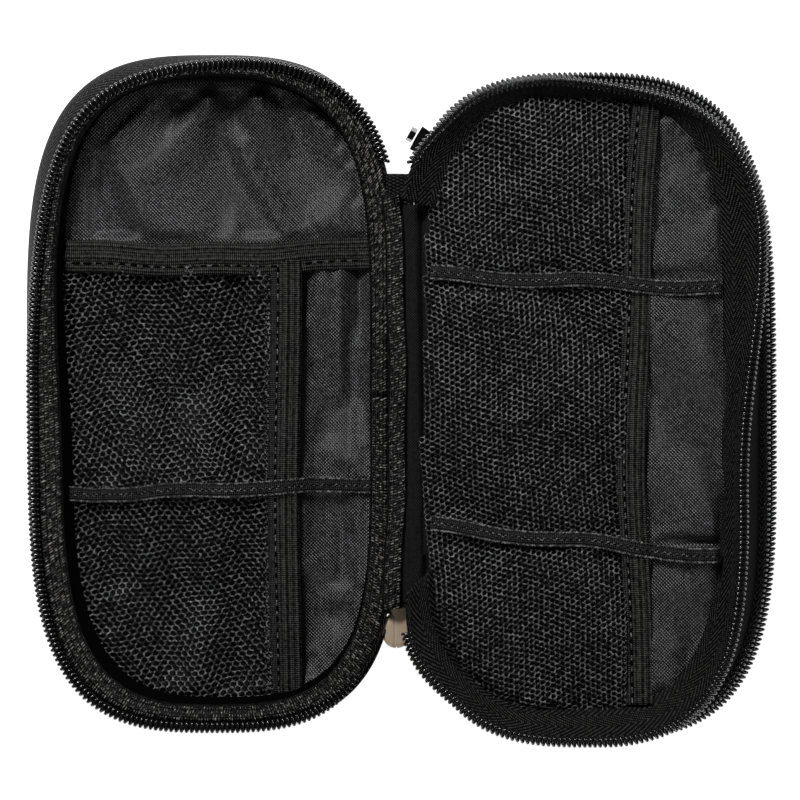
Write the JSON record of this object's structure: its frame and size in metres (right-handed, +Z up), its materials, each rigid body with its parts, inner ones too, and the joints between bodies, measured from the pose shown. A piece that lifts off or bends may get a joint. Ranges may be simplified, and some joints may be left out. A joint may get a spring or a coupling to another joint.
{
  "type": "cable organizer pouch",
  "caption": "Soft zip-round travel pouch that opens like a book, with mesh and slip pockets, elastic hems, divider ribbons and a separately zipped rear compartment.",
  "frame": {"origin": "on the table under the open pouch, midway between its two halves and at mid length", "axes": "+X from the front cover to the main half, +Y along the zip's long sides towards the end away from the main pull, +Z up"},
  "size_m": [0.2196, 0.2012, 0.034],
  "materials": {
    "shell_fabric": "woven polyester twill, matt",
    "lining_nylon": "glossy nylon taffeta",
    "mesh": "knitted hexagonal net",
    "elastic": "ribbed woven elastic",
    "ribbon": "narrow stitched ribbon",
    "binding": "ribbed woven seam binding",
    "zip_tape": "herringbone woven tape",
    "zip_coil": "nylon coil",
    "foam": "soft foam sheet",
    "board": "stiff board",
    "slider_metal": "black enamelled",
    "pull_strap": "beige, satin"
  },
  "bodies": {
    "main_half": {"hinge_wall": "shell_fabric", "rear_zip_coil_upper": "zip_coil", "rear_zip_tape_upper": "zip_tape", "divider_back_lining": "lining_nylon", "divider_board": "board", "divider_lining": "lining_nylon", "main_gusset": "shell_fabric", "main_zip_tape": "zip_tape", "main_zip_coil": "zip_coil", "divider_slip_panel": "lining_nylon", "divider_mesh_pocket": "mesh", "divider_mesh_elastic": "elastic", "divider_ribbon_upper": "ribbon", "divider_ribbon_lower": "ribbon", "hinge_lining": "lining_nylon"},
    "front_cover": {"front_shell": "shell_fabric", "front_foam": "foam", "front_lining": "lining_nylon", "front_seam_binding": "binding", "front_zip_tape": "zip_tape", "front_zip_coil": "zip_coil", "front_slip_pocket": "lining_nylon", "front_mesh_pocket": "mesh", "front_pocket_elastic": "elastic", "front_mesh_elastic": "elastic", "front_divider_ribbon": "ribbon"},
    "rear_cover": {"rear_shell": "shell_fabric", "rear_foam": "foam", "rear_lining": "lining_nylon", "rear_zip_tape_lower": "zip_tape", "rear_zip_coil_lower": "zip_coil", "rear_seam_binding": "binding"},
    "spine": {"spine_outer": "shell_fabric", "spine_lining": "lining_nylon", "spine_binding": "binding"},
    "main_slider": {"main_slider": "slider_metal"},
    "main_pull": {"main_pull": "pull_strap"},
    "rear_slider": {"rear_slider": "slider_metal"},
    "rear_pull": {"rear_pull": "slider_metal"}
  },
  "joints": [
    {"name": "spine_fold", "type": "hinge", "parent": "main_half", "child": "spine", "pos_m": [0.004, 0.003, 0.0251], "axis": [0, 1, 0], "range_deg": [0, 90]},
    {"name": "front_fold", "type": "hinge", "parent": "spine", "child": "front_cover", "pos_m": [-0.004, 0.003, 0.0251], "axis": [0, 1, 0], "range_deg": [0, 90]},
    {"name": "rear_fold", "type": "hinge", "parent": "main_half", "child": "rear_cover", "pos_m": [0.0051, -0.0008, 0], "axis": [0, 1, 0], "range_deg": [0, 150]},
    {"name": "main_slider_run", "type": "slide", "parent": "main_half", "child": "main_slider", "axis": [0, -1, 0], "range_m": [0, 0.01]},
    {"name": "main_pull_swing", "type": "hinge", "parent": "main_slider", "child": "main_pull", "pos_m": [-0.0005, -0.0578, 0.0191], "axis": [1, 0, 0], "range_deg": [0, 60]},
    {"name": "rear_slider_run", "type": "hinge", "parent": "main_half", "child": "rear_slider", "pos_m": [0.0465, 0.0527, 0.019], "axis": [0, 0, -1], "range_deg": [0, 52]},
    {"name": "rear_pull_swing", "type": "hinge", "parent": "rear_slider", "child": "rear_pull", "pos_m": [0.00342, 0.07707, 0.0192], "axis": [0.4924, 0.8704, 0], "range_deg": [0, 60]}
  ],
  "couplings": [
    {"joint": "front_fold", "follows": "spine_fold", "ratio": 1}
  ]
}
